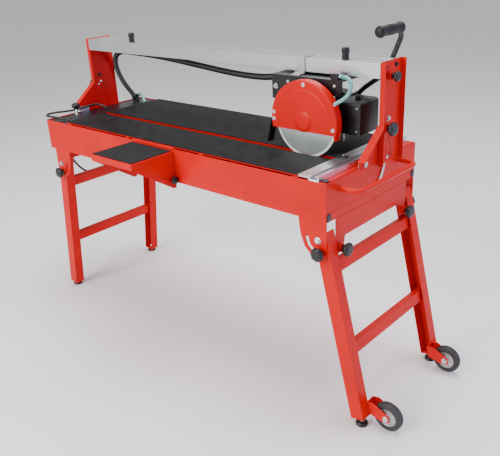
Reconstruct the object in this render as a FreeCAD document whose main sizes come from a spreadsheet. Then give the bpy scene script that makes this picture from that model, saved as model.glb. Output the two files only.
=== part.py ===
"""Wet tile saw on folding legs: a tub with a rubber-topped table, and a tilting rail bridge for the head.

Frame: origin on the table mat, at the middle of the tub. +X runs along the rail to the wheeled end, +Y to the
back, +Z up. Z = 0 is the mat's top. All sizes are millimetres.
"""

import FreeCAD, Part
import math
import os
import re

import Sketcher

V = FreeCAD.Vector

DIMENSIONS = {
    # tub and stand
    "tub_length": 1400, "tub_width": 490, "tub_depth": 89, "tub_wall": 2.5, "rim_drop": 8,
    "band_height": 28, "band_wall": 3, "apron_height": 68, "ear_height": 115, "bracket_wall": 4,
    # table
    "table_left": 565, "table_right": 598, "table_front": 237, "mat_depth": 4, "plate_wall": 3,
    "cut_line": 60, "slot_front": 68, "slot_rear": 46, "channel_depth": 30,
    # legs
    "leg_face": 46, "leg_side": 40, "leg_wall": 3, "leg_length": 587, "leg_pivot_drop": 184,
    "right_pivot": 670, "left_pivot": 640, "right_splay": 13.2, "left_splay": 7.2, "slot_radius": 38,
    "right_fold": 103.2, "left_fold": 97.2, "floor_drop": 782, "bolt_radius": 6, "screw_radius": 5,
    "bar_height": 38, "bar_depth": 25, "upper_bar": 95, "lower_bar": 362,
    "wheel_radius": 47, "wheel_width": 26, "wheel_offset": 190, "wheel_out": 89, "wheel_along": 585,
    # bridge
    "post_inner": 704, "post_wall": 3, "post_flange": 18, "post_front": 11, "post_width": 114,
    "post_top": 280, "post_bottom": 25, "rail_front": 10, "rail_width": 105, "rail_height": 43,
    "rail_bottom": 234, "rail_wall": 3, "rail_slot": 24, "tilt_pin": 5,
    # cutting head
    "blade_x": 490, "blade_z": 102, "blade_radius": 115, "blade_wall": 2.4, "guard_radius": 124,
    "guard_width": 28, "arbor_radius": 11, "motor_radius": 70, "motor_length": 166, "hinge_x": 352,
    "hinge_z": 190, "hinge_pin": 5,
    # knobs and hoses
    "knob_radius": 22, "small_knob": 16, "conduit_radius": 11, "hose_radius": 4.5, "water_hose_radius": 6,
    "side_knob_y": 178, "side_knob_drop": 222, "tilt_knob_y": 34, "tilt_knob_z": 88, "rail_knob_y": 50,
    "rail_knob_z": 238, "boss_radius": 13, "gap": 0.3, "running_gap": 0.05, "carry_bar_radius": 8,
    # sliding side tray
    "tray_left": -140, "tray_width": 216, "tray_reach": 180, "tray_top": 15, "tray_wall": 2.5,
}

# routes of the bent bars, hoses and cables, from corner to corner
PUMP_CABLE = [(-600, -196, -6.5), (-640, -214, -1), (-684, -232, 3), (-712, -236, 3), (-738, -214, 3),
              (-738, -180, 3), (-718, -150, 3), (-699, -118, 4), (-688, -82, 7), (-684, -46, 12), (-676, -12, 13),
              (-652, 8, 5), (-624, 8, -6.5)]
SUPPLY_LEAD = [(-704, -150, -112), (-722, -150, -113), (-739, -149, -121), (-751, -147, -139),
               (-753, -143, -163), (-746, -137, -194), (-732, -126, -230), (-718, -106, -262), (-708, -76, -286),
               (-704, -38, -299), (-704, 4, -302), (-704, 46, -297), (-705, 86, -284), (-708, 118, -260),
               (-712, 140, -228), (-717, 150, -194), (-721, 153, -164)]
RISER = [(-676, 206, -11), (-681, 182, 30), (-686, 156, 68), (-688, 136, 110), (-687, 122, 152),
         (-671, 112, 188), (-639, 106, 214), (-595, 104, 222)]
RUN = [(-592, 104, 222), (-480, 101, 221), (-320, 100, 214), (-130, 98, 198), (50, 92, 184), (190, 80, 184),
       (275, 68, 196), (331, 61, 209)]
HANDLE_ARM = [(528, 135, 128), (560, 135, 166), (600, 135, 194), (640, 135, 220), (664, 135, 262),
              (684, 135, 308), (702, 130, 346), (704, 100, 364)]
WATER_HOSE = [(587, -18, 236), (606, -19, 237), (628, -24, 228), (638, -36, 206), (630, -50, 182),
              (598, -62, 164)]

doc = FreeCAD.newDocument("TileSaw")
sheet = doc.addObject("Spreadsheet::Sheet", "Dims")
for row, (alias, amount) in enumerate(DIMENSIONS.items(), 1):
    sheet.set(f"A{row}", alias)
    sheet.set(f"B{row}", str(amount))
    sheet.setAlias(f"B{row}", alias)
doc.recompute()
parts = {}


def formula(text):
    """A formula in sheet aliases, in the form that setExpression takes."""
    return re.sub(r"\b([a-z]+(?:_[a-z]+)+|gap)\b", r"Dims.\1", str(text))


def size(text):
    """The number that a formula in sheet aliases stands for."""
    return float(sheet.evalExpression(formula(text)))


def vector(point):
    return V(*[size(value) for value in point])


def bind(thing, **formulas):
    """Ties properties of a document object to formulas in sheet aliases."""
    for name, text in formulas.items():
        thing.setExpression(name, formula(text))
    return thing


def place(thing, at=(0, 0, 0), axis=None, angle=0):
    """Puts an object at a point, turned by an angle about an axis, with the point tied to the sheet."""
    if axis:
        thing.Placement = FreeCAD.Placement(V(0, 0, 0), FreeCAD.Rotation(V(*axis), size(angle)))
    for letter, text in zip("xyz", at):
        thing.setExpression(f".Placement.Base.{letter}", formula(text))
    return thing


def part(label, thing):
    """Names a finished sub-part, which is also the name of its file."""
    thing.Label = label
    parts[label] = thing
    return thing


def block(low, dims, axis=None, angle=0):
    """A box from its low corner and its three sizes."""
    thing = doc.addObject("Part::Box", "Block")
    bind(thing, Length=dims[0], Width=dims[1], Height=dims[2])
    return place(thing, low, axis, angle)


TURNS = {"+X": ((0, 1, 0), 90), "-X": ((0, 1, 0), -90), "+Y": ((1, 0, 0), -90), "-Y": ((1, 0, 0), 90),
         "+Z": (None, 0), "-Z": ((1, 0, 0), 180)}


def rod(at, radius, length, way="+Z"):
    """A cylinder from the middle of its first end, along one of the six axis directions."""
    thing = doc.addObject("Part::Cylinder", "Rod")
    bind(thing, Radius=radius, Height=length)
    return place(thing, at, *TURNS[way])


def fuse(*things):
    joined = doc.addObject("Part::MultiFuse", "Fuse")
    joined.Shapes = list(things)
    return joined


def cut(base, *tools):
    for tool in tools:
        less = doc.addObject("Part::Cut", "Cut")
        less.Base, less.Tool = base, tool
        base = less
    return base


def group(*things):
    """Several separate solids that share one node."""
    together = doc.addObject("Part::Compound", "Group")
    together.Links = list(things)
    return together


def mirrored(thing, normal):
    """The mirror image of an object in a plane through the origin."""
    image = doc.addObject("Part::Mirroring", "Mirror")
    image.Source, image.Normal = thing, V(*normal)
    return image


def outline(body, plane, points):
    """A closed sketch on one of the body's own planes, with each corner tied to the sheet."""
    sketch = body.newObject("Sketcher::SketchObject", body.Name + "Outline")
    own_plane = [feature for feature in body.Origin.OriginFeatures if feature.Role == plane][0]
    sketch.AttachmentSupport = [(own_plane, "")]
    sketch.MapMode = "FlatFace"
    corners = [V(size(x), size(y), 0) for x, y in points]
    for number, corner in enumerate(corners):
        following = corners[(number + 1) % len(corners)]
        sketch.addGeometry(Part.LineSegment(corner, following), False)
    for number, (x, y) in enumerate(points):
        following = (number + 1) % len(points)
        sketch.addConstraint(Sketcher.Constraint("Coincident", number, 2, following, 1))
        for way, text, value in (("DistanceX", x, corners[number].x), ("DistanceY", y, corners[number].y)):
            if value and not isinstance(text, (int, float)):
                made = sketch.addConstraint(Sketcher.Constraint(way, -1, 1, number, 1, value))
                sketch.setExpression(f"Constraints[{made}]", formula(text))
    return sketch


def pressed(plane, points, length):
    """A body padded from an outline. A pad runs to +Z from XY, to -Y from XZ and to +X from YZ."""
    body = doc.addObject("PartDesign::Body", "Pressed")
    pad = body.newObject("PartDesign::Pad", body.Name + "Pad")
    pad.Profile = outline(body, plane, points)
    bind(pad, Length=length)
    return body


def turned(points):
    """A body turned about its own Z axis from an outline of (radius, height) corners."""
    body = doc.addObject("PartDesign::Body", "Turned")
    sketch = outline(body, "XZ_Plane", points)
    revolution = body.newObject("PartDesign::Revolution", body.Name + "Turn")
    revolution.Profile, revolution.ReferenceAxis, revolution.Angle = sketch, (sketch, ["V_Axis"]), 360
    return body


def route(points):
    """Straight runs joined by the largest tangent arcs that fit. Returns the wire and the arcs' radii."""
    spots = [vector(point) for point in points]
    edges, radii, start = [], [], spots[0]
    for before, corner, after in zip(spots, spots[1:], spots[2:]):
        into, out = (corner - before), (after - corner)
        reach = 0.45 * min(into.Length, out.Length)
        half = into.getAngle(out) / 2
        into.normalize()
        out.normalize()
        first, last = corner - into * reach, corner + out * reach
        radius = reach / math.tan(half)
        towards = (out - into).normalize()
        middle = corner + towards * (radius / math.cos(half) - radius)
        edges += [Part.LineSegment(start, first).toShape(), Part.Arc(first, middle, last).toShape()]
        radii.append(round(radius))
        start = last
    edges.append(Part.LineSegment(start, spots[-1]).toShape())
    return Part.Wire(edges), radii


def tube(label, points, radius, mirror=None):
    """A round bar, cable or hose along a route, and its image too when a mirror normal is given."""
    wire, radii = route(points)
    first = wire.Edges[0]
    start = first.FirstParameter
    circle = Part.makeCircle(size(radius), first.valueAt(start), first.tangentAt(start))
    solid = Part.Solid(wire.makePipeShell([Part.Wire(circle)], True, False))
    expected = math.pi * size(radius) ** 2 * wire.Length
    print(f"{label}: length {wire.Length:.0f}, radii {radii}, volume ratio {solid.Volume / expected:.3f}")
    thing = doc.addObject("Part::Feature", label)
    thing.Shape = Part.makeCompound([solid, solid.mirror(V(0, 0, 0), V(*mirror))]) if mirror else solid
    thing.Placement = FreeCAD.Placement()
    return part(label, thing)


# ---------------------------------------------------------------- tub and stand

def tub_and_stand():
    """The open tub, the frame band under it, and the aprons between the legs."""
    outer = block(("-tub_length/2", "-tub_width/2", "-rim_drop - tub_depth"),
                  ("tub_length", "tub_width", "tub_depth"))
    inner = block(("tub_wall - tub_length/2", "tub_wall - tub_width/2", "tub_wall - rim_drop - tub_depth"),
                  ("tub_length - 2*tub_wall", "tub_width - 2*tub_wall", "tub_depth"))
    part("tub", cut(outer, inner))

    band_low = "-rim_drop - tub_depth - band_height"
    ledge = 25
    ring = block(("-tub_length/2", "-tub_width/2", band_low), ("tub_length", "tub_width", "band_height"))
    below = block(("band_wall - tub_length/2", "band_wall - tub_width/2", f"{band_low} - 1"),
                  ("tub_length - 2*band_wall", "tub_width - 2*band_wall", "band_height - band_wall + 1"))
    window = block((f"{ledge} - tub_length/2", f"{ledge} - tub_width/2", band_low),
                   (f"tub_length - {2 * ledge}", f"tub_width - {2 * ledge}", "band_height + 1"))
    part("stand_band", cut(ring, below, window))

    # an apron closes each end, with an ear beside each leg
    side, ear, slope = "tub_width/2 - leg_side - 7", 48, 12
    low = f"{band_low} - apron_height"
    ear_low = f"{band_low} - ear_height"
    shape = [(f"-({side})", band_low), (side, band_low), (side, ear_low), (f"{side} - {ear - slope}", ear_low),
             (f"{side} - {ear}", low), (f"{ear} - ({side})", low), (f"{ear - slope} - ({side})", ear_low),
             (f"-({side})", ear_low)]
    right = place(pressed("YZ_Plane", shape, "band_wall"), ("tub_length/2 - band_wall", 0, 0))
    left = place(pressed("YZ_Plane", shape, "band_wall"), ("-tub_length/2", 0, 0))
    holes = []
    bosses = []
    for way in (1, -1):
        y, z = f"{way}*side_knob_y", "-side_knob_drop"
        holes.append(rod(("tub_length/2 - band_wall - 1", y, z), "screw_radius + running_gap", 30, "+X"))
        bosses.append(rod(("tub_length/2", y, z), "boss_radius", 12, "+X"))
    part("end_aprons", group(cut(fuse(right, *bosses), *holes), left))


def leg_bracket(pivot, way, near_face):
    """A bracket plate with a pivot hole and the curved slot that the leg's clamp screw runs in."""
    reach = [(-69, -125), (30, -125), (30, -205), (20, -232), (-2, -240), (-25, -236), (-48, -215),
             (-62, -180), (-67, -150)]
    plate = pressed("XZ_Plane", [(f"{pivot} + {x * way}", z) for x, z in reach], "bracket_wall")
    place(plate, (0, near_face, 0))
    back = f"{near_face} + 1"
    wide, deep = "screw_radius + 0.6", "bracket_wall + 2"
    start, turn = ("right_splay", "right_fold") if way > 0 else ("left_splay", "left_fold")
    outer = rod((pivot, back, "-leg_pivot_drop"), f"slot_radius + {wide}", deep, "-Y")
    bind(outer, Angle=turn)
    inner = rod((pivot, back, "-leg_pivot_drop"), f"slot_radius - ({wide})", deep, "-Y")
    first = -90 + size(start) if way > 0 else -90 - size(start)
    sweep_from = first - size(turn) if way > 0 else first
    outer.Placement.Rotation = FreeCAD.Rotation(V(0, -1, 0), sweep_from) * outer.Placement.Rotation
    ends = []
    for angle in (first, first - way * size(turn)):
        across, up = math.cos(math.radians(angle)), math.sin(math.radians(angle))
        ends.append(rod((f"{pivot} + {across:.6f}*slot_radius", back, f"{up:.6f}*slot_radius - leg_pivot_drop"),
                        wide, deep, "-Y"))
    hole = rod((pivot, back, "-leg_pivot_drop"), "bolt_radius", deep, "-Y")
    return cut(plate, cut(outer, inner), *ends, hole)


def leg_mounts():
    plates, bolts = [], []
    for pivot, way in (("right_pivot", 1), ("-left_pivot", -1)):
        for near_face, side, out in (("bracket_wall - tub_width/2", -1, "-Y"), ("tub_width/2", 1, "+Y")):
            plates.append(leg_bracket(pivot, way, near_face))
            shank = rod((pivot, f"{side}*(tub_width/2 - 31)", "-leg_pivot_drop"), "bolt_radius", 31, out)
            head = rod((pivot, f"{side}*tub_width/2", "-leg_pivot_drop"), 10, 5, out)
            bolts.append(fuse(shank, head))
    part("leg_brackets", group(*plates))
    part("leg_pivot_bolts", group(*bolts))


# ---------------------------------------------------------------- legs

def leg_frame(label, pivot, splay, way):
    """Two channel legs and two crossbars, drawn hanging straight down from the pivot and then splayed."""
    out, top = 30, 22
    pieces = []
    length = f"leg_length + {top}"
    for side in (-1, 1):
        outer_y = "tub_width/2 - bracket_wall - gap"
        low_y = f"{side}*({outer_y})" if side < 0 else f"{outer_y} - leg_side"
        web_y = f"{low_y} + leg_wall" if side < 0 else low_y
        x = f"{out} - leg_face" if way > 0 else f"-{out}"
        end_wall = 4
        whole = block((x, low_y, "-leg_length"), ("leg_face", "leg_side", length))
        hollow = block((f"{x} + leg_wall", f"{web_y} - {0 if side < 0 else 1}", f"{end_wall} - leg_length"),
                       ("leg_face - 2*leg_wall", "leg_side - leg_wall + 1", f"{length} + 2"))
        pivot_hole = rod((0, f"{side}*200", 0), "bolt_radius + running_gap", 60, "+Y" if side > 0 else "-Y")
        screw_hole = rod((0, f"{side}*200", "-slot_radius"), "screw_radius + running_gap", 60,
                         "+Y" if side > 0 else "-Y")
        pieces.append(cut(whole, hollow, pivot_hole, screw_hole))
    span = "tub_width/2 - bracket_wall - gap - leg_wall"
    for along in ("upper_bar", "lower_bar"):
        x = -5 if way > 0 else "5 - bar_depth"
        low = (x, f"-({span})", f"-{along} - bar_height/2")
        pieces.append(block(low, ("bar_depth", f"2*({span})", "bar_height")))
    frame = group(*pieces)
    part(label, place(frame, (pivot, 0, "-leg_pivot_drop"), (0, 1, 0), f"{-way}*{splay}"))


def foot_group(label, x):
    feet = [place(turned([(0, 0), (17, 0), (19, 3), (19, 9), (15, 13), (5, 15), (5, 32), (0, 32)]),
                  (x, f"{side}*(tub_width/2 - leg_side/2 - 5)", "-floor_drop")) for side in (-1, 1)]
    part(label, group(*feet))


def wheels_and_forks():
    """Each fork is drawn beside the unsplayed right leg, then splayed with it."""
    leg_out, wall, ear = 30, 3, 16
    half, axle = "wheel_width/2 + 3", 6
    forks = []
    for side in (-1, 1):
        middle = f"{side}*wheel_offset"
        base = block((leg_out, f"{middle} - 19 - {0 if side > 0 else 27}", "-wheel_along + 6"), (wall, 65, 40))
        arms = []
        for edge in (f"{middle} - ({half}) - {wall}", f"{middle} + {half}"):
            arm = pressed("XZ_Plane", [(leg_out + wall, "46 - wheel_along"), (leg_out + 24, "46 - wheel_along"),
                                       (f"wheel_out + {ear - 4}", "9 - wheel_along"),
                                       (f"wheel_out + {ear - 4}", "-11 - wheel_along"),
                                       (f"wheel_out - {ear}", "-12 - wheel_along"),
                                       (leg_out + wall, "6 - wheel_along")], wall)
            arms.append(place(arm, (0, f"{edge} + {wall}", 0)))
        pin = rod(("wheel_out", f"{middle} - ({half}) - 7", "-wheel_along"), axle, f"2*({half}) + 14", "+Y")
        forks.append(fuse(base, *arms, pin))
    frame = group(*forks)
    part("wheel_forks", place(frame, ("right_pivot", 0, "-leg_pivot_drop"), (0, 1, 0), "-right_splay"))

    turn = math.radians(size("right_splay"))
    x = f"right_pivot + {math.cos(turn):.6f}*wheel_out + {math.sin(turn):.6f}*wheel_along"
    z = f"{math.sin(turn):.6f}*wheel_out - {math.cos(turn):.6f}*wheel_along - leg_pivot_drop"
    bore, half_wheel = f"{axle} + running_gap", "wheel_width/2"
    section = [(bore, f"-({half_wheel})"), (13, f"-({half_wheel})"), (15, -4), (27, -4),
               (31, "3 - wheel_width/2"), ("wheel_radius - 5", f"-({half_wheel})"), ("wheel_radius", -6),
               ("wheel_radius", 6),
               ("wheel_radius - 5", half_wheel), (31, "wheel_width/2 - 3"), (27, 4), (15, 4), (13, half_wheel),
               (bore, half_wheel)]
    for label, side in (("wheel_front", -1), ("wheel_rear", 1)):
        part(label, place(turned(section), (x, f"{side}*wheel_offset", z), *TURNS["+Y"]))


# ---------------------------------------------------------------- table

def table():
    """Steel plates either side of the blade slot, a water channel under the slot, and ribbed rubber mats."""
    top, inside = "-mat_depth - plate_wall", "tub_width/2 - tub_wall"
    under_fence = 41
    length = f"table_left + table_right + {under_fence}"
    front = block(("-table_left", "-table_front", top), (length, "table_front - slot_front", "plate_wall"))
    rear = block(("-table_left", "-slot_rear", top), (length, f"{inside} + slot_rear", "plate_wall"))
    part("table_plates", group(front, rear))

    edge, beam, wall = 14, 20, 2
    trough = block(("-table_left", f"-slot_front - {edge}", f"{top} - channel_depth"),
                   ("table_left + table_right", f"slot_front - slot_rear + {2 * edge}", "channel_depth"))
    inner_width = f"slot_front - slot_rear + {2 * edge - 2 * wall}"
    water = block(("-table_left - 1", f"{wall} - slot_front - {edge}", f"{top} - channel_depth + {wall}"),
                  ("table_left + table_right + 2", inner_width, "channel_depth"))
    beams = [block((x, "-table_front - 2", f"{top} - {beam}"), (beam, f"{inside} + table_front + 2", beam))
             for x in ("10 - table_left", -190, 190, "table_right - 20")]
    part("slot_channel", cut(fuse(trough, *beams), water))

    margin = 5
    mat_length = f"table_left + table_right - {margin + 2}"
    front_mat = block((f"{margin} - table_left", f"{margin - 3} - table_front", "-mat_depth"),
                      (mat_length, f"table_front - slot_front - {margin - 1}", "mat_depth"))
    rear_mat = block((f"{margin} - table_left", "2 - slot_rear", "-mat_depth"),
                     (mat_length, f"{inside} + slot_rear - {margin + 2}", "mat_depth"))
    part("table_mats", group(front_mat, rear_mat))

    # a ledge closes the well at each end, and the left one carries a clamp screw
    lug_face = "tub_length/2 - tub_wall - 3.1"
    left = block((f"-({lug_face})", "-table_front", "-rim_drop - 6"),
                 (f"{lug_face} - table_left - 2", f"{inside} + table_front", 3))
    right = block((f"table_right + {under_fence}", f"-({inside})", "-rim_drop - 3"),
                  (f"{lug_face} - table_right - {under_fence}", f"2*({inside})", 3))
    screw = rod((-672, -118, -20), "screw_radius + running_gap", 20)
    part("end_ledges", group(cut(left, screw), right))


def fence():
    """A flat rule beside a T-slot extrusion, across the table at the wheeled end."""
    rule_width, rule_thickness = 40.4, 6
    part("fence_plate", block(("table_right + gap", "-tub_width/2 + 5", "-mat_depth"),
                              (rule_width, "tub_width - 12", rule_thickness)))
    x = "table_right + 41"
    profile = [(x, "-rim_drop"), (f"{x} + 35", "-rim_drop"), (f"{x} + 35", 8), (f"{x} + 23", 8),
               (f"{x} + 23", 5.5), (f"{x} + 31", 5.5), (f"{x} + 31", -2), (f"{x} + 4", -2), (f"{x} + 4", 5.5),
               (f"{x} + 12", 5.5), (f"{x} + 12", 8), (x, 8)]
    part("fence_rail", place(pressed("XZ_Plane", profile, "tub_width - 8"), (0, "tub_width/2 - 8", 0)))


def tub_fittings():
    """Pump and drain, grab bars, and the pins that the bridge tilts on."""
    floor = "tub_wall - rim_drop - tub_depth"
    pump = fuse(rod((620, 150, floor), 42, 46), rod((620, 150, f"{floor} + 46"), 26, 14),
                rod((620, 185, f"{floor} + 12"), 9, 32, "+Y"))
    drain = fuse(rod((-500, 100, "-rim_drop - tub_depth"), 14, 16, "-Z"),
                 rod((-500, 100, "-rim_drop - tub_depth - 16"), 18, 6, "-Z"))
    part("pump_and_drain", group(pump, drain))

    wall, reach = "tub_length/2", "tub_length/2 + 65"
    tube("carry_bars", [(wall, -181, -38), (reach, -181, -38), (reach, 137, -38), (wall, 137, -38)],
         "carry_bar_radius", (1, 0, 0))
    lug = block(("tub_length/2 - tub_wall - 3", "-cut_line - 20", -40), (3, 40, 52))
    pin = rod(("tub_length/2 - tub_wall - 3", "-cut_line", 0), "tilt_pin", 11, "+X")
    cap = rod(("tub_length/2 + 5.5", "-cut_line", 0), 9, 4, "+X")
    right = fuse(lug, pin, cap)
    part("pivot_lugs", group(right, mirrored(right, (1, 0, 0))))


def cables():
    """The pump's cable, looped over the corner of the tub, and the supply lead behind the left crossbar."""
    tube("pump_cable", PUMP_CABLE, "hose_radius")
    tube("supply_lead", SUPPLY_LEAD, "hose_radius")
    gland = rod(("-tub_length/2", -150, -112), 9, 4, "-X")
    plug = place(turned([(0, 0), (8, 0), (19, 16), (19, 40), (0, 40)]), (-721, 153, -164))
    clip = block(("-tub_length/2 - 4", 145, -146), (4, 16, 14))
    part("lead_fittings", group(gland, fuse(plug, clip)))


# ---------------------------------------------------------------- bridge

def bridge_post(knobs):
    """A channel post with its flanges turned outwards, and a boss for each clamp screw."""
    height = "post_top + post_bottom"
    whole = block(("post_inner", "post_front", "-post_bottom"), ("post_flange", "post_width", height))
    hollow = block(("post_inner + post_wall", "post_front + post_wall", "-post_bottom - 1"),
                   ("post_flange", "post_width - 2*post_wall", f"{height} + 2"))
    post = cut(whole, hollow)
    bosses = [rod(("post_inner + post_wall", y, z), "boss_radius", 15, "+X") for y, z in knobs]
    holes = [rod(("post_inner - 5", y, z), "screw_radius + running_gap", 40, "+X") for y, z in knobs]
    return cut(fuse(post, *bosses), *holes)


def bridge():
    """Two posts, their gussets and guide straps, and the aluminium rail."""
    tilt_knob = ("tilt_knob_y", "tilt_knob_z")
    part("post_right", bridge_post([tilt_knob, ("rail_knob_y", "rail_knob_z")]))
    part("post_left", mirrored(bridge_post([tilt_knob]), (1, 0, 0)))

    plate = pressed("YZ_Plane", [("-cut_line - 32", 14), ("-cut_line - 15", -14), (60, -16), (60, 110),
                                 ("post_front", 97)], 3)
    place(plate, ("post_inner - 3", 0, 0))
    flange = pressed("YZ_Plane", [("-cut_line - 34", 15), ("-cut_line - 31", 13), ("post_front - 1", 94),
                                  ("post_front - 1", 98)], 24)
    place(flange, ("post_inner - 3", 0, 0))
    strap = bind(rod(("post_inner - 3", "-cut_line", 0), 118, 3, "+X"), Angle=50)
    strap.Placement.Rotation = FreeCAD.Rotation(V(1, 0, 0), 40) * strap.Placement.Rotation
    core = rod(("post_inner - 4", "-cut_line", 0), 106, 5, "+X")
    screw = rod(("post_inner - 5", *tilt_knob), "screw_radius + running_gap", 20, "+X")
    pin = rod(("post_inner - 5", "-cut_line", 0), "tilt_pin + running_gap", 20, "+X")
    gusset = cut(fuse(plate, flange, cut(strap, core)), screw, pin)
    part("gussets", group(gusset, mirrored(gusset, (1, 0, 0))))

    y, z, slot = "rail_front", "rail_bottom", "(rail_width - rail_slot)/2"
    top = f"{z} + rail_height"
    groove, deep = 6, 1.5
    inner_low, inner_top, inner_rear = f"{z} + rail_wall", f"{top} - rail_wall", f"{y} + rail_width - rail_wall"
    section = [(y, z), (f"{y} + {slot}", z), (f"{y} + {slot}", inner_low), (f"{y} + rail_wall", inner_low),
               (f"{y} + rail_wall", inner_top), (inner_rear, inner_top), (inner_rear, inner_low),
               (f"{y} + rail_width - {slot}", inner_low), (f"{y} + rail_width - {slot}", z),
               (f"{y} + rail_width", z), (f"{y} + rail_width", top)]
    for middle in (80, 25):
        near, far = f"{y} + {middle - groove / 2}", f"{y} + {middle + groove / 2}"
        section += [(far, top), (far, f"{top} - {deep}"), (near, f"{top} - {deep}"), (near, top)]
    section.append((y, top))
    part("rail", place(pressed("YZ_Plane", section, "2*post_inner"), ("-post_inner", 0, 0)))

    bolts = []
    for bolt_y, bolt_z in ((32, 264), (92, 264), (29, 244), (58, 112)):
        bolt = rod(("post_inner + post_wall", bolt_y, bolt_z), 6.5, 5, "+X")
        bolts += [bolt, mirrored(bolt, (1, 0, 0))]
    part("post_bolts", group(*bolts))


def conduits():
    """The hose and cable conduit: up from the tub beside the left post, then under the rail to the carriage."""
    tube("riser_conduit", RISER, "conduit_radius")
    tube("run_conduit", RUN, "conduit_radius")


# ---------------------------------------------------------------- carriage and cutting head

def carriage():
    """A glide block inside the rail, the hanger plate below it, and a steel hook over the rail's front."""
    inside = "rail_width - 2*rail_wall - 2"
    glide = block((370, "rail_front + rail_wall + 1", "rail_bottom + rail_wall + 1"),
                  (200, inside, "rail_height - 2*rail_wall - 6"))
    neck = block((380, "rail_front + rail_width/2 - 8", "rail_bottom - 7"), (180, 16, 12))
    part("trolley", fuse(glide, neck))

    flange = block((335, -30, 222), (265, 110, 5))
    web = block((335, -30, 150), (265, 6, 73))
    corner = pressed("XZ_Plane", [(601, 149), (601, 195), (560, 149)], 10)
    place(corner, (0, -22, 0))
    pin = rod(("hinge_x", -32, "hinge_z"), "hinge_pin", 18, "+Y")
    tab = block((335, 38, 192), (6, 42, 31))
    fitting = block((560, -28, 227), (26, 20, 18))
    part("hanger", fuse(cut(fuse(flange, web), corner), pin, tab, fitting))

    front, top = "rail_front - 0.5", "rail_bottom + rail_height + 0.5"
    hook = pressed("YZ_Plane", [(-22, 227), (front, 227), (front, top), (60, top), (60, f"{top} + 3"),
                                ("rail_front - 4", f"{top} + 3"), ("rail_front - 4", 231), (-22, 231)], 30)
    part("hook_bracket", place(hook, (408, 0, 0)))


def cutting_head():
    x, z = "blade_x", "blade_z"
    plate_front, motor_front = -23, -18
    shape = [(344, 150), (344, 204), (400, 204), (560, 182), (560, 62), (420, 62), (380, 110)]
    plate = place(pressed("XZ_Plane", shape, 5), (0, motor_front, 0))
    spacers = [rod((spot, -47, 80), 8, 24, "+Y") for spot in (430, 550)]
    holes = [rod((x, plate_front - 2, z), 16, 10, "+Y"),
             rod(("hinge_x", plate_front - 2, "hinge_z"), "hinge_pin + running_gap", 10, "+Y")]
    part("head_plate", cut(fuse(plate, *spacers), *holes))

    hull = [(0, 0), ("motor_radius - 8", 0), ("motor_radius", 8), ("motor_radius", "motor_length - 46"),
            ("motor_radius - 6", "motor_length - 44"), ("motor_radius - 6", "motor_length - 12"),
            ("motor_radius - 16", "motor_length"), (0, "motor_length")]
    motor = place(turned(hull), (x, motor_front, z), *TURNS["+Y"])
    shaft_hole = rod((x, motor_front - 1, z), "arbor_radius + running_gap", 11, "+Y")
    part("motor", cut(motor, shaft_hole))

    case = pressed("XY_Plane", [(560, -5), (650, -5), (650, 96), (630, 118), (560, 118)], 95)
    part("motor_box", place(case, (0, 0, 62)))

    # half-round guard, hollow for the blade, open below, with a hole for the arbor in its back wall
    front = "-cut_line - guard_width/2 - 1"
    shell = rod((x, front, z), "guard_radius", "guard_width", "+Y")
    hollow = rod((x, f"{front} + 2", z), "guard_radius - 2", "guard_width - 4", "+Y")
    below = block((300, -200, -100), (400, 300, 172))
    tail = block((604, front, 56), (6, "guard_width", 18))
    arbor_hole = rod((x, f"{front} + 10", z), 27, 40, "+Y")
    part("blade_guard", fuse(cut(shell, hollow, below, arbor_hole), tail))

    screws = []
    for angle, radius in ((88, 112), (171, 114), (182, 114), (-7, 112)):
        across, up = radius * math.cos(math.radians(angle)), radius * math.sin(math.radians(angle))
        screws.append(rod((f"{x} + {across:.2f}", front, f"{z} + {up:.2f}"), 4.5, 3.5, "-Y"))
    part("guard_screws", group(*screws))
    flap = pressed("XZ_Plane", [(362, 96), (366, 96), (347, 17), (343, 17)], 30)
    part("splash_flap", place(flap, (0, -44, 0)))

    tube("handle_arm", HANDLE_ARM, "carry_bar_radius")
    grip = turned([(0, 0), (14, 0), (17, 3), (17, 9), (13.5, 13), (13.5, 112), (15, 118), (15, 124), (0, 124)])
    part("handle_grip", place(grip, (704, -6, 364), *TURNS["+Y"]))
    tube("water_hose", WATER_HOSE, "water_hose_radius")


def blade():
    x, z = "blade_x", "blade_z"
    disc = rod((x, "-cut_line - blade_wall/2", z), "blade_radius", "blade_wall", "+Y")
    bore = rod((x, "-cut_line - 5", z), "arbor_radius", 10, "+Y")
    part("blade", cut(disc, bore))
    shaft = rod((x, "-cut_line - 9", z), "arbor_radius", 57, "+Y")
    near = rod((x, "-cut_line + blade_wall/2", z), 24, 5, "+Y")
    far = rod((x, "-cut_line - blade_wall/2", z), 24, 5, "-Y")
    part("arbor", fuse(shaft, near, far))


# ---------------------------------------------------------------- side tray

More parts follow.
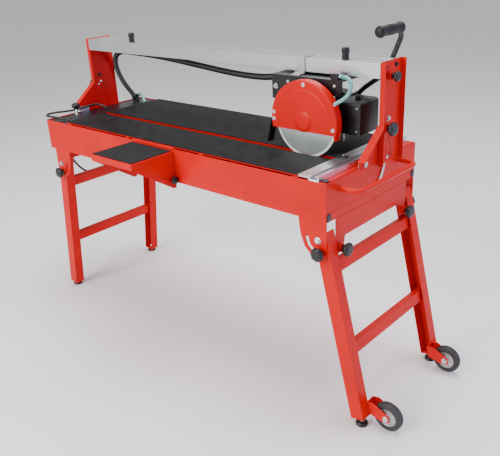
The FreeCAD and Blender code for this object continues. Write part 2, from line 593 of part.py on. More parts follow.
def side_tray():
    """A steel shelf that hooks over the tub's front rim and slides along it."""
    wall, low = "tray_wall", "-tray_top - tray_wall"
    near, far = "-tub_width/2 - 0.5", "-tub_width/2 - tray_reach"
    shelf = block(("tray_left", far, low), ("tray_width", "tray_reach - 0.5", wall))
    apron = block(("tray_left", far, "-tray_top - 22"), ("tray_width", wall, 22))
    side = [(near, "-tray_top"), (near, -143), (f"{near} - 14", -143), (far, "-tray_top - 22"),
            (far, "-tray_top")]
    cheeks = [place(pressed("YZ_Plane", side, wall), (x, 0, 0))
              for x in ("tray_left", "tray_left + tray_width - tray_wall")]
    lift = block(("tray_left", f"{near} - tray_wall", low),
                 ("tray_width", wall, "tray_top + tray_wall - rim_drop + 3"))
    over = block(("tray_left", f"{near} - tray_wall", "0.5 - rim_drop"), ("tray_width", "tray_wall + 5.5", 2.5))
    lip = block(("tray_left", f"{near} + 3.5", "-rim_drop - 4"), ("tray_width", 2, 6))
    screw = rod(("tray_left + tray_width - 10", f"{near} - 15", -112), "screw_radius + running_gap", 20, "+X")
    part("tray", cut(fuse(shelf, apron, *cheeks, lift, over, lip), screw))
    part("tray_pad", block(("tray_left + 5", f"{far} + 5", "-tray_top"),
                           ("tray_width - 10", "tray_reach - 12", 3)))


# ---------------------------------------------------------------- knobs

def knob(label, at, way, shank, hub=6, radius="knob_radius", head=20):
    """A clamp knob on its screw. at is where the hub starts, and the shank runs back from there."""
    end = hub + head
    section = [(0, -shank), ("screw_radius", -shank), ("screw_radius", 0), (9, 0), (9, hub),
               (f"{radius} - 4", hub + 1), (radius, hub + 5), (radius, end - 7), (f"{radius} - 6", end - 1),
               (f"{radius} - 13", end), (0, end)]
    part(label, place(turned(section), at, *TURNS[way]))


def knobs():
    for name, pivot, splay, way in (("right", "right_pivot", "right_splay", 1),
                                    ("left", "-left_pivot", "left_splay", -1)):
        turn = math.radians(size(splay))
        x = f"{pivot} + {way * math.sin(turn):.6f}*slot_radius"
        z = f"-leg_pivot_drop - {math.cos(turn):.6f}*slot_radius"
        knob(f"leg_knob_{name}_front", (x, "-tub_width/2 - 0.5", z), "-Y", 28)
        knob(f"leg_knob_{name}_rear", (x, "tub_width/2 + 0.5", z), "+Y", 28)
    for name, y in (("front", "-side_knob_y"), ("rear", "side_knob_y")):
        knob(f"side_knob_{name}", ("tub_length/2 + 12.5", y, "-side_knob_drop"), "+X", 18)
    outer = "post_inner + post_wall + 15.5"
    knob("tilt_knob_right", (outer, "tilt_knob_y", "tilt_knob_z"), "+X", 18)
    knob("tilt_knob_left", (f"-({outer})", "tilt_knob_y", "tilt_knob_z"), "-X", 18)
    knob("rail_knob", (outer, "rail_knob_y", "rail_knob_z"), "+X", 18, radius="small_knob", head=16)
    top = "rail_bottom + rail_height + gap"
    for name, x in (("left", -440), ("right", 570)):
        stop = turned([(0, 0), (11, 0), (11, 13), (9.5, 14), (9.5, 16), (12, 17), (12, 31), (10, 34), (0, 34)])
        part(f"stop_knob_{name}", place(stop, (x, 34, top)))
    knob("tray_knob", ("tray_left + tray_width + 0.5", "-tub_width/2 - 15.5", -112), "+X", 8, 3, 14, 14)
    knob("end_knob", (-672, -118, 12), "+Z", 34, 4, 18, 22)


tub_and_stand()
leg_mounts()
leg_frame("right_leg_frame", "right_pivot", "right_splay", 1)
leg_frame("left_leg_frame", "-left_pivot", "left_splay", -1)
foot_group("right_feet", 815)
foot_group("left_feet", -721)
wheels_and_forks()
table()
fence()
tub_fittings()
cables()
bridge()
conduits()
carriage()
cutting_head()
blade()
side_tray()
knobs()

doc.recompute()
failed = [thing.Label for thing in doc.Objects if "Invalid" in thing.State or "Error" in thing.State]
failed += [label for label, thing in parts.items() if thing.Shape.isNull() or not thing.Shape.isValid()]
if failed:
    raise SystemExit(f"these objects failed: {failed}")
os.makedirs("parts", exist_ok=True)
for label, thing in parts.items():
    thing.Shape.exportStep(os.path.join("parts", label + ".step"))
    box = thing.Shape.BoundBox
    print(f"{label:22s} {len(thing.Shape.Solids)} solids  x {box.XMin:.0f}..{box.XMax:.0f}"
          f"  y {box.YMin:.0f}..{box.YMax:.0f}  z {box.ZMin:.0f}..{box.ZMax:.0f}")
print(len(parts), "sub-parts")
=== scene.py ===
"""Looks for the wet tile saw: pieces, materials, floor, lights and camera around the fixed CAD frame."""

import math

import bmesh
import bpy
from mathutils import Matrix, Vector


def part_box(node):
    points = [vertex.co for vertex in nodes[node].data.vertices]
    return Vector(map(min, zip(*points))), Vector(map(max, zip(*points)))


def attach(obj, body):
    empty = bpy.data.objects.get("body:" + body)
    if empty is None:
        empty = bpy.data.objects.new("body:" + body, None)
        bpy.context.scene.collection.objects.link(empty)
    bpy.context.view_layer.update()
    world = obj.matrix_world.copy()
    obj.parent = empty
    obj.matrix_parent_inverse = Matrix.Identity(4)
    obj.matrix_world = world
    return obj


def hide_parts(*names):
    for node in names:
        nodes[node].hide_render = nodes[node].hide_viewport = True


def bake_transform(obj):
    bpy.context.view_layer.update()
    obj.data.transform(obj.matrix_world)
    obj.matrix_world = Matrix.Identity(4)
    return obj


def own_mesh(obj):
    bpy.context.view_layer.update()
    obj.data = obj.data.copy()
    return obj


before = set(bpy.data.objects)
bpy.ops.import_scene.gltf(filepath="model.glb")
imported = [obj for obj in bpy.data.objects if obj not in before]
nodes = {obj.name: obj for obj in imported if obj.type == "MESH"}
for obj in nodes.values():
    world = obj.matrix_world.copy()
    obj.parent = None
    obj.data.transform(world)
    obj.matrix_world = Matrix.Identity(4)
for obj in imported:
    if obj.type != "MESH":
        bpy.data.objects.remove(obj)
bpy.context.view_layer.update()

MM = 0.001
X, Y, Z = Vector((1, 0, 0)), Vector((0, 1, 0)), Vector((0, 0, 1))
FLOOR = -0.782
CONDUIT_RADIUS, CONDUIT_PITCH, CONDUIT_GROOVE = 11, 4.5, 1.3
CABLE_RADIUS = 4.5
HOSE_RADIUS = 6


# ---------------------------------------------------------------- materials

def new_material(name, colour, roughness, metallic=0.0, **sockets):
    """A Principled material whose constants sit on the shader's own sockets."""
    material = bpy.data.materials.new(name)
    material.use_nodes = True
    shader = material.node_tree.nodes["Principled BSDF"]
    shader.inputs["Base Color"].default_value = (*colour, 1)
    shader.inputs["Roughness"].default_value = roughness
    shader.inputs["Metallic"].default_value = metallic
    for socket, value in sockets.items():
        shader.inputs[socket.replace("_", " ")].default_value = value
    return material, material.node_tree, shader


def noise(tree, scale, detail=3.0, stretch=(1, 1, 1)):
    """A noise pattern in the piece's own coordinates, with its cells per metre."""
    coordinates = tree.nodes.new("ShaderNodeTexCoord")
    mapping = tree.nodes.new("ShaderNodeMapping")
    mapping.inputs["Scale"].default_value = stretch
    texture = tree.nodes.new("ShaderNodeTexNoise")
    texture.inputs["Scale"].default_value = scale
    texture.inputs["Detail"].default_value = detail
    tree.links.new(coordinates.outputs["Object"], mapping.inputs["Vector"])
    tree.links.new(mapping.outputs["Vector"], texture.inputs["Vector"])
    return texture.outputs["Fac"]


def spread(tree, value, low, high, between=(0.3, 0.7)):
    """Maps a pattern onto a range of numbers."""
    node = tree.nodes.new("ShaderNodeMapRange")
    node.inputs["From Min"].default_value, node.inputs["From Max"].default_value = between
    node.inputs["To Min"].default_value, node.inputs["To Max"].default_value = low, high
    tree.links.new(value, node.inputs["Value"])
    return node.outputs["Result"]


def tint(tree, value, dark, light, between=(0.3, 0.7)):
    """Maps a pattern onto a range of colours."""
    node = tree.nodes.new("ShaderNodeValToRGB")
    for stop, place, colour in zip(node.color_ramp.elements, between, (dark, light)):
        stop.position, stop.color = place, (*colour, 1)
    tree.links.new(value, node.inputs["Fac"])
    return node.outputs["Color"]


def bump(tree, shader, height, depth):
    """Raises the surface by a pattern, to a depth in metres."""
    node = tree.nodes.new("ShaderNodeBump")
    node.inputs["Distance"].default_value = depth
    node.inputs["Strength"].default_value = 1.0
    tree.links.new(height, node.inputs["Height"])
    tree.links.new(node.outputs["Normal"], shader.inputs["Normal"])


def textured(name, dark, light, roughness, grain, depth, metallic=0.0, patch=9, stretch=(1, 1, 1),
             **sockets):
    """The common build: blotchy colour, roughness that varies with it, and a fine surface grain."""
    material, tree, shader = new_material(name, light, roughness[0], metallic, **sockets)
    blotches = noise(tree, patch, 5)
    fine = noise(tree, grain, 4, stretch)
    tree.links.new(tint(tree, blotches, dark, light), shader.inputs["Base Color"])
    tree.links.new(spread(tree, fine, *roughness), shader.inputs["Roughness"])
    bump(tree, shader, fine, depth)
    return material


def ribbed_rubber(name, groove, top):
    """Rubber with a painted highlight that makes the tops of its ribs paler, varied by random noise, and
    painted shade that keeps the grooves dark.
    """
    material, tree, shader = new_material(name, (0.02, 0.02, 0.02), 0.4, Specular_IOR_Level=0.3)
    coordinates = tree.nodes.new("ShaderNodeTexCoord")
    split = tree.nodes.new("ShaderNodeSeparateXYZ")
    tree.links.new(coordinates.outputs["Object"], split.inputs["Vector"])
    # Painted highlight and shade: the colour runs from dark in the grooves to paler on the rib tops, scaled
    # by random noise.
    height = spread(tree, split.outputs["Z"], 0, 1, (groove, top))
    top_highlight_mask = tree.nodes.new("ShaderNodeMath")
    top_highlight_mask.operation = "MULTIPLY"
    tree.links.new(height, top_highlight_mask.inputs[0])
    tree.links.new(spread(tree, noise(tree, 25, 5), 0.55, 1.0), top_highlight_mask.inputs[1])
    # The dark groove colour is painted shade; the paler rib-top colour is a painted highlight.
    dark, lit_rib_top = (0.0010, 0.0010, 0.0013), (0.024, 0.024, 0.027)
    tree.links.new(tint(tree, top_highlight_mask.outputs["Value"], dark, lit_rib_top, (0.35, 1.0)), shader.inputs["Base Color"])
    fine = noise(tree, 1100, 4)
    tree.links.new(spread(tree, fine, 0.32, 0.48), shader.inputs["Roughness"])
    bump(tree, shader, fine, 0.00005)
    return material


def ground_steel(name, axis_at):
    """Steel ground in fine rings about a Y axis, as a saw blade is."""
    material, tree, shader = new_material(name, (0.60, 0.66, 0.66), 0.3, 0.85)
    link = tree.links.new
    coordinates = tree.nodes.new("ShaderNodeTexCoord")
    offset = tree.nodes.new("ShaderNodeVectorMath")
    offset.operation = "SUBTRACT"
    offset.inputs[1].default_value = axis_at
    flat = tree.nodes.new("ShaderNodeVectorMath")
    flat.operation = "MULTIPLY"
    flat.inputs[1].default_value = (1, 0, 1)
    length = tree.nodes.new("ShaderNodeVectorMath")
    length.operation = "LENGTH"
    rings = tree.nodes.new("ShaderNodeTexNoise")
    rings.noise_dimensions = "1D"
    rings.inputs["Scale"].default_value = 900
    rings.inputs["Detail"].default_value = 4
    link(coordinates.outputs["Object"], offset.inputs[0])
    link(offset.outputs["Vector"], flat.inputs[0])
    link(flat.outputs["Vector"], length.inputs[0])
    link(length.outputs["Value"], rings.inputs["W"])
    stain = noise(tree, 14, 4)
    link(tint(tree, stain, (0.50, 0.57, 0.58), (0.64, 0.70, 0.70)), shader.inputs["Base Color"])
    link(spread(tree, rings.outputs["Fac"], 0.24, 0.42), shader.inputs["Roughness"])
    bump(tree, shader, rings.outputs["Fac"], 0.00004)
    return material


BLADE_AXIS = Vector((0.490, -0.060, 0.102))
RED = textured("red_powder_coat", dark=(0.53, 0.0012, 0.0008), light=(0.62, 0.0018, 0.0010),
               roughness=(0.30, 0.42), grain=700, depth=0.00005, Specular_IOR_Level=0.16)
ALUMINIUM = textured("anodised_aluminium", dark=(0.70, 0.72, 0.75), light=(0.80, 0.82, 0.85),
                     roughness=(0.24, 0.40), grain=900, depth=0.00003, metallic=1.0, stretch=(0.01, 1, 1))
STEEL = textured("satin_steel", dark=(0.50, 0.49, 0.50), light=(0.62, 0.61, 0.62),
                 roughness=(0.30, 0.45), grain=800, depth=0.00003, metallic=0.9, stretch=(1, 0.02, 1))
BLACK_PAINT = textured("black_satin_paint", dark=(0.006, 0.006, 0.008), light=(0.014, 0.014, 0.017),
                       roughness=(0.28, 0.42), grain=900, depth=0.00005, Specular_IOR_Level=0.4)
PLASTIC = textured("black_moulded_plastic", dark=(0.006, 0.006, 0.007), light=(0.013, 0.013, 0.015),
                   roughness=(0.26, 0.42), grain=1400, depth=0.00004, Specular_IOR_Level=0.4)
RUBBER = textured("black_rubber", dark=(0.004, 0.004, 0.005), light=(0.010, 0.010, 0.012),
                  roughness=(0.38, 0.54), grain=1100, depth=0.00006, Specular_IOR_Level=0.3)
TYRE = textured("wheel_rubber", dark=(0.012, 0.012, 0.012), light=(0.028, 0.028, 0.027),
                roughness=(0.50, 0.72), grain=800, depth=0.0001)
HUB = textured("grey_hub", dark=(0.42, 0.42, 0.43), light=(0.58, 0.58, 0.59),
               roughness=(0.30, 0.45), grain=500, depth=0.00004, metallic=0.6)
CABLE = textured("black_cable", dark=(0.009, 0.009, 0.010), light=(0.018, 0.018, 0.019),
                 roughness=(0.34, 0.50), grain=1600, depth=0.00003)
ZINC = textured("bright_zinc", dark=(0.62, 0.63, 0.66), light=(0.82, 0.83, 0.85),
                roughness=(0.14, 0.28), grain=600, depth=0.00002, metallic=1.0, patch=60)
HOSE = textured("green_hose", dark=(0.10, 0.34, 0.32), light=(0.16, 0.44, 0.41),
                roughness=(0.16, 0.28), grain=300, depth=0.00003, Coat_Weight=0.5, Transmission_Weight=0.15)
GRIT = textured("diamond_rim", dark=(0.55, 0.58, 0.57), light=(0.80, 0.82, 0.80),
                roughness=(0.5, 0.7), grain=1500, depth=0.0002, metallic=0.3, patch=400)
MAT = ribbed_rubber("ribbed_mat_rubber", -0.0026, 0.0)
BLADE_STEEL = ground_steel("ground_blade_steel", BLADE_AXIS)


# ---------------------------------------------------------------- shapes

def square_to(axis):
    """Two directions square to an axis."""
    across = axis.orthogonal().normalized()
    return across, axis.cross(across)


def lathe(bm, profile, at, axis, sides=48, lobe=None, slot=0):
    """Adds a turned form from (radius, height) points in millimetres. lobe scales the radius at an angle."""
    u, v = square_to(axis)
    closed = (Vector(profile[0]) - Vector(profile[-1])).length < 1e-6 and profile[0][0] > 1e-6
    rings = []
    for radius, height in (profile[:-1] if closed else profile):
        middle = at + axis * height * MM
        if radius < 1e-6:
            rings.append([bm.verts.new(middle)])
            continue
        ring = []
        for k in range(sides):
            angle = 2 * math.pi * k / sides
            reach = radius * MM * (lobe(angle, radius) if lobe else 1)
            ring.append(bm.verts.new(middle + (u * math.cos(angle) + v * math.sin(angle)) * reach))
        rings.append(ring)
    following = rings[1:] + rings[:1] if closed else rings[1:]
    for low, high in zip(rings, following):
        for k in range(sides):
            after = k + 1
            corners = [low[k % len(low)], low[after % len(low)], high[after % len(high)],
                       high[k % len(high)]]
            corners = list(dict.fromkeys(corners))
            if len(corners) > 2:
                bm.faces.new(corners).material_index = slot
    for ring, flip in ((rings[0], True), (rings[-1], False)):
        if len(ring) > 1 and not closed:
            bm.faces.new(ring[::-1] if flip else ring).material_index = slot


def rounded(points, radius, steps=4):
    """A (radius, height) outline with each inner corner turned into a small arc."""
    path = [Vector((r, z)) for r, z in points]
    out = [path[0]]
    for before, corner, after in zip(path, path[1:], path[2:]):
        cut = min(radius, (corner - before).length * 0.45, (after - corner).length * 0.45)
        first = corner + (before - corner).normalized() * cut
        last = corner + (after - corner).normalized() * cut
        for k in range(steps + 1):
            t = k / steps
            out.append(first * (1 - t) ** 2 + corner * 2 * t * (1 - t) + last * t * t)
    out.append(path[-1])
    return [(p.x, p.y) for p in out]


def box(bm, low, high, radius=1.0, slot=0):
    """Adds a block with rounded edges, from two corners and an edge radius in millimetres."""
    low, high = Vector(low), Vector(high)
    made = bmesh.ops.create_cube(bm, size=1)["verts"]
    for vert in made:
        vert.co = Vector([(low[i] + high[i]) / 2 + vert.co[i] * (high[i] - low[i]) for i in range(3)]) * MM
    faces = list(dict.fromkeys(face for vert in made for face in vert.link_faces))
    if radius:
        edges = list(dict.fromkeys(edge for face in faces for edge in face.edges))
        faces += bmesh.ops.bevel(bm, geom=edges, offset=radius * MM, segments=3, profile=0.5,
                                 affect="EDGES")["faces"]
    for face in faces:
        if face.is_valid:
            face.material_index = slot


def slab(bm, outline, direction, slot=0):
    """Adds a plate from a closed outline of points in millimetres, pushed along a direction."""
    near = [bm.verts.new(Vector(p) * MM) for p in outline]
    far = [bm.verts.new((Vector(p) + Vector(direction)) * MM) for p in outline]
    faces = [bm.faces.new(near), bm.faces.new(far[::-1])]
    for k in range(len(near)):
        after = (k + 1) % len(near)
        faces.append(bm.faces.new([near[k], near[after], far[after], far[k]][::-1]))
    for face in faces:
        face.material_index = slot


def sweep(bm, path, radius, sides=20, slot=0):
    """Adds a round tube along points in metres. radius gives millimetres at a distance along it."""
    tangents = [(b - a).normalized() for a, b in zip(path, path[1:])]
    tangents = [tangents[0]] + [(a + b).normalized() for a, b in zip(tangents,
                                                                     tangents[1:])] + [tangents[-1]]
    across = square_to(tangents[0])[0]
    rings, along = [], 0.0
    for k, (point, tangent) in enumerate(zip(path, tangents)):
        if k:
            along += (point - path[k - 1]).length
        across = (across - tangent * across.dot(tangent)).normalized()
        side = tangent.cross(across)
        reach = radius(along) * MM
        rings.append([bm.verts.new(point + (across * math.cos(a) + side * math.sin(a)) * reach)
                      for a in (2 * math.pi * n / sides for n in range(sides))])
    for low, high in zip(rings, rings[1:]):
        for n in range(sides):
            after = (n + 1) % sides
            bm.faces.new([low[n], low[after], high[after], high[n]]).material_index = slot
    bm.faces.new(rings[0][::-1]).material_index = slot
    bm.faces.new(rings[-1]).material_index = slot


def finish_mesh(name, bm, materials, smooth=35):
    """Turns a bmesh into a shaded object."""
    bmesh.ops.recalc_face_normals(bm, faces=bm.faces)
    mesh = bpy.data.meshes.new(name)
    bm.to_mesh(mesh)
    bm.free()
    for material in materials:
        mesh.materials.append(material)
    mesh.shade_smooth()
    mesh.set_sharp_from_angle(angle=math.radians(smooth))
    thing = bpy.data.objects.new(name, mesh)
    bpy.context.collection.objects.link(thing)
    return thing


def piece(name, body, slot, materials, *builders, stands_for=(), smooth=35):
    """A new piece made by functions that add to its bmesh. It rides on a CAD body."""
    bm = bmesh.new()
    for build in builders:
        build(bm)
    thing = finish_mesh(name, bm, materials, smooth)
    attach(thing, body)
    if stands_for:
        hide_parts(*stands_for)
    return thing


def smooth_route(name, points):
    """The evenly spread points of a NURBS line through a given route in millimetres."""
    curve = route_curve(name, points, 0)
    thing = bpy.data.objects.new(name, curve)
    bpy.context.collection.objects.link(thing)
    mesh = bpy.data.meshes.new_from_object(thing)
    line = [vert.co.copy() for vert in mesh.vertices]
    bpy.data.objects.remove(thing)
    bpy.data.meshes.remove(mesh)
    return line


def resampled(line, step):
    """The same line with points a fixed distance apart."""
    out, spare = [line[0]], 0.0
    for a, b in zip(line, line[1:]):
        length = (b - a).length
        along = step - spare
        while along < length:
            out.append(a.lerp(b, along / length))
            along += step
        spare = (spare + length) % step
    if (out[-1] - line[-1]).length > step * 0.3:
        out.append(line[-1])
    return out


def route_curve(name, points, radius):
    """A curve of one NURBS spline whose control points are a route in millimetres."""
    curve = bpy.data.curves.new(name, "CURVE")
    curve.dimensions = "3D"
    curve.bevel_depth = radius * MM
    curve.bevel_resolution = 6
    curve.use_fill_caps = True
    spline = curve.splines.new("NURBS")
    spline.points.add(len(points) - 1)
    for point, place in zip(spline.points, points):
        point.co = (*(Vector(place) * MM), 1)
    spline.order_u = 3
    spline.use_endpoint_u = True
    spline.resolution_u = 16
    return curve


def bolt(bm, at, axis, across, height, slot=0, washer=True, socket=False):
    """A hexagon bolt head on a washer, or a round head with a hexagon socket. Sizes in millimetres."""
    base, washer_radius, washer_height = 0.0, across * 0.72, 1.2
    if washer:
        ring = [(0, 0), (washer_radius, 0), (washer_radius, washer_height), (0, washer_height)]
        lathe(bm, rounded(ring, 0.3, 2), at, axis, 32, slot=slot)
        base = washer_height
    if socket:
        profile = [(0, base), (across / 2, base), (across / 2, base + height),
                   (across * 0.3, base + height),
                   (across * 0.27, base + height * 0.35), (0, base + height * 0.35)]
        lathe(bm, rounded(profile, 0.5, 2), at, axis, 32, slot=slot)
        return
    reach = across / 2 / math.cos(math.pi / 6)
    top, shoulder = base + height, base + height * 0.9
    flats = [(0, base), (reach, base), (reach, base + height * 0.8), (reach * 0.86, top), (0, top)]
    lathe(bm, flats, at, axis, 6, slot=slot)
    crown = [(0, shoulder), (reach * 0.78, shoulder), (reach * 0.7, top + 0.3), (0, top + 0.4)]
    lathe(bm, rounded(crown, 0.3, 2), at, axis, 24, slot=slot)


# ---------------------------------------------------------------- CAD nodes that keep their shape

def dress_nodes():
    """Gives the CAD nodes that stay visible their material, and sheet-metal edges their small radius."""
    looks = {
        RED: ["tub", "stand_band", "end_aprons", "leg_brackets", "table_plates", "slot_channel",
              "post_right",
              "post_left", "gussets", "right_leg_frame", "left_leg_frame", "wheel_forks", "tray"],
        ALUMINIUM: ["fence_rail", "rail"],
        STEEL: ["fence_plate", "hook_bracket", "pivot_lugs"],
        BLACK_PAINT: ["end_ledges", "trolley", "hanger", "head_plate"],
        PLASTIC: ["pump_and_drain"],
        RUBBER: ["splash_flap"],
        BLADE_STEEL: ["arbor"],
    }
    right_end = 0.6
    edge_radius = {"rail": 0.9, "fence_rail": 0.5, "splash_flap": 1.2, "arbor": 0.6, "pump_and_drain": 2}
    for material, names in looks.items():
        for name in names:
            node = nodes[name]
            node.data.materials.clear()
            node.data.materials.append(material)
            weld = node.modifiers.new("weld", "WELD")
            weld.merge_threshold = 0.00002
            edge = node.modifiers.new("edge", "BEVEL")
            edge.width = edge_radius.get(name, 1.0) * MM
            edge.segments = 3
            edge.limit_method = "ANGLE"
            edge.angle_limit = math.radians(40)
            edge.use_clamp_overlap = True
            edge.harden_normals = True
    ledges = nodes["end_ledges"].data
    ledges.materials.append(RED)
    for face in ledges.polygons:
        face.material_index = 1 if face.center.x > right_end else 0


# ---------------------------------------------------------------- tub, table and stand

def ribbed_mat(low, high, pitch, depth):
    """A builder for a rubber mat with rounded ribs that run along X."""
    def build(bm):
        count = max(1, round((high[1] - low[1]) / pitch))
        step = (high[1] - low[1]) / count
        # One rib: how far along the pitch each corner is, and how far below the top.
        shape = [(0.22, -depth), (0.28, -depth * 0.2), (0.36, 0), (0.64, 0), (0.72, -depth * 0.2),
                 (0.78, -depth)]
        outline = [(low[0], low[1], low[2]), (low[0], low[1], high[2] - depth)]
        for rib in range(count):
            outline += [(low[0], low[1] + (rib + along) * step, high[2] + drop) for along, drop in shape]
        outline += [(low[0], high[1], high[2] - depth), (low[0], high[1], low[2])]
        slab(bm, outline, (high[0] - low[0], 0, 0))
    return build


def millimetres(node):
    """A CAD node's lowest and highest corners, in millimetres."""
    low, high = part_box(node)
    return low / MM, high / MM


def middle_of(node):
    """The middle of a CAD node's box, in metres."""
    low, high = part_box(node)
    return (low + high) / 2


def rubber_mats():
    """The two mats either side of the blade slot, and the tray's."""
    low, high = millimetres("table_mats")
    slot_front, slot_rear = -70, -44
    pitch, depth, tray_pitch, tray_depth = 8, 2.8, 5, 0.7
    piece("front_rubber_mat", "base", "mat_rubber", [MAT],
          ribbed_mat((low.x, low.y, low.z), (high.x, slot_front, high.z), pitch, depth),
          stands_for=["table_mats"])
    piece("rear_rubber_mat", "base", "mat_rubber", [MAT],
          ribbed_mat((low.x, slot_rear, low.z), (high.x, high.y, high.z), pitch, depth))
    low, high = millimetres("tray_pad")
    piece("tray_rubber", "tray", "mat_rubber", [RUBBER], ribbed_mat(low, high, tray_pitch, tray_depth),
          stands_for=["tray_pad"])


def table_dressing():
    """The fence's small stop, the band's end caps, the cable grommets and the fence plate's screws."""
    def stop(bm):
        box(bm, (604, -58, 2), (637, -40, 9), 1.5)
        bolt(bm, Vector((0.6205, -0.049, 0.009)), Z, 6, 1.5, 1, washer=False, socket=True)
    piece("fence_end_stop", "base", "black_plastic", [PLASTIC, ZINC], stop)

    def end_caps(bm):
        bottom, top = -122.5, -99.5
        for side in (-1, 1):
            for front in (-1, 1):
                xs = sorted((side * 698, side * 702.5))
                ys = sorted((front * 224, front * 242.5))
                box(bm, (xs[0], ys[0], bottom), (xs[1], ys[1], top), 1.2)
    piece("band_end_caps", "base", "black_plastic", [PLASTIC], end_caps)

    def grommets(bm):
        left_height, right_height = -11, -8
        for x, y in ((684, -226), (-600, -196), (-624, 8), (-676, 205)):
            at = Vector((x, y, left_height if x < 0 else right_height)) * MM
            collar = [(0, -2), (8, -2), (11, 0), (11, 2.5), (8, 4.5), (4, 4.5), (0, 3.5)]
            lathe(bm, rounded(collar, 1), at, Z, 32)
    piece("corner_grommets", "base", "black_plastic", [PLASTIC], grommets)

    def plate_screws(bm):
        for y in (-225, -140, 60, 150, 222):
            bolt(bm, Vector((0.6185, y * MM, 0.002)), Z, 7, 0.6, washer=False, socket=True)
    piece("fence_plate_screws", "base", "bolt_chrome", [ZINC], plate_screws)


def foot(x, y):
    """A builder for one levelling foot: ribbed rubber pad, stem and lock nut."""
    def build(bm):
        at = Vector((x * MM, y * MM, FLOOR))
        pad = [(0, 0), (17.5, 0), (19, 1.5), (19, 4), (18, 4.8), (19, 5.6), (19, 9), (15, 13), (7, 14.5),
               (0, 14.5)]
        lathe(bm, rounded(pad, 1, 2), at, Z, 40)
        foot_top, crest, root, turns = 14, 5, 4.4, 18
        thread = [(crest if k % 2 else root, foot_top + k) for k in range(turns)]
        lathe(bm, [(0, foot_top)] + thread + [(0, foot_top + turns - 1)], at, Z, 24, slot=1)
        bolt(bm, at + Z * 0.016, Z, 13, 6, 1, washer=True)
    return build


def feet():
    """A pair of levelling feet under each pair of legs."""
    half_track = 220
    for node, body, x in (("right_feet", "right_legs", 815), ("left_feet", "left_legs", -721)):
        piece(node + "_levelling", body, "black_plastic", [PLASTIC, ZINC],
              foot(x, -half_track), foot(x, half_track), stands_for=[node])


def wheels():
    """Solid rubber tyres on dished hubs, with the axle nuts on the forks."""
    tread = [(30, -11), (41, -12), (45.5, -10), (46.6, -6), (47, -4.5), (46, -4), (46, -3), (47, -2.5),
             (47, 2.5), (46, 3), (46, 4), (47, 4.5), (46.6, 6), (45.5, 10), (41, 12), (30, 11), (30, -11)]
    hub = [(6.2, -13), (11, -13), (12.5, -12), (13.5, -5), (26, -4), (29, -9.5), (31, -10), (31, 10),
           (29, 9.5), (26, 4), (13.5, 5), (12.5, 12), (11, 13), (6.2, 13), (6.2, -13)]
    for node in ("wheel_front", "wheel_rear"):
        middle = middle_of(node)

        def tyre(bm):
            lathe(bm, rounded(tread, 0.8, 2), middle, Y, 72)

        def spokes(bm):
            lathe(bm, rounded(hub, 0.8, 2), middle, Y, 60)
            spoke_count, spoke_circle, disc_face = 5, 0.0195, 0.0042
            ring = rounded([(3.2, 0), (3.2, 1.2), (5, 1.2), (5, 0)], 0.3, 2)
            for k in range(spoke_count):
                angle = 2 * math.pi * k / spoke_count
                out = X * math.cos(angle) + Z * math.sin(angle)
                for way in (-1, 1):
                    lathe(bm, ring, middle + out * spoke_circle + Y * way * disc_face, Y * way, 20)
        piece(node + "_tyre", node, "wheel_rubber", [TYRE], tyre, stands_for=[node])
        piece(node + "_hub", node, "grey_steel", [HUB], spokes)

    def axle_nuts(bm):
        for node in ("wheel_front", "wheel_rear"):
            fork_face = 0.019
            for way in (-1, 1):
                bolt(bm, middle_of(node) + Y * way * fork_face, Y * way, 13, 5)
    piece("axle_nuts", "right_legs", "bolt_chrome", [ZINC], axle_nuts)


def leg_bolts():
    """Hexagon pivot bolts with washers outside the brackets and locking nuts inside the channels."""
    def build(bm):
        bracket_face, pivot_height, shank, radius, nut_depth = 245, -184, 30, 6, 0.0075
        for x in (670, -640):
            for side in (-1, 1):
                outer = Vector((x, side * bracket_face, pivot_height)) * MM
                bolt(bm, outer, Y * side, 15, 5)
                lathe(bm, [(0, -shank), (radius, -shank), (radius, 0), (0, 0)], outer, Y * side, 24)
                bolt(bm, outer - Y * side * nut_depth, -Y * side, 15, 8)
    piece("pivot_bolts", "base", "bolt_chrome", [ZINC], build, stands_for=["leg_pivot_bolts"])


def grab_bars():
    """Bent round bars, drawn through the same corners as the CAD tubes."""
    def bar(side):
        def build(bm):
            wall, reach, front, rear, height = 700, 765, -181, 137, -38
            radius, corner, steps = 8, 29, 8
            points = [Vector((wall, front, height))]
            for y, start in ((front + corner, -90), (rear - corner, 0)):
                for k in range(steps + 1):
                    angle = math.radians(start + 90 * k / steps)
                    across = reach - corner + corner * math.cos(angle)
                    points.append(Vector((across, y + corner * math.sin(angle), height)))
            points.append(Vector((wall, rear, height)))
            path = [Vector((side * p.x, p.y, p.z)) * MM for p in points]
            sweep(bm, path, lambda along: radius, 28)
            weld = rounded([(8, 0), (11, 0), (10.5, 1.5), (8.2, 3), (8, 3)], 0.8, 2)
            for y in (front, rear):
                lathe(bm, weld, Vector((side * wall, y, height)) * MM, X * side, 32)
        return build
    piece("grab_bars", "base", "red_paint", [RED], bar(1), bar(-1), stands_for=["carry_bars"])


# ---------------------------------------------------------------- knobs

def lobed(count, depth, above):
    """A scale for lathe that cuts shallow finger flutes into radii above a size."""
    def scale(angle, radius):
        flute = depth * (0.5 - 0.5 * math.cos(count * angle)) ** 2
        return 1 - flute if radius > above else 1
    return scale


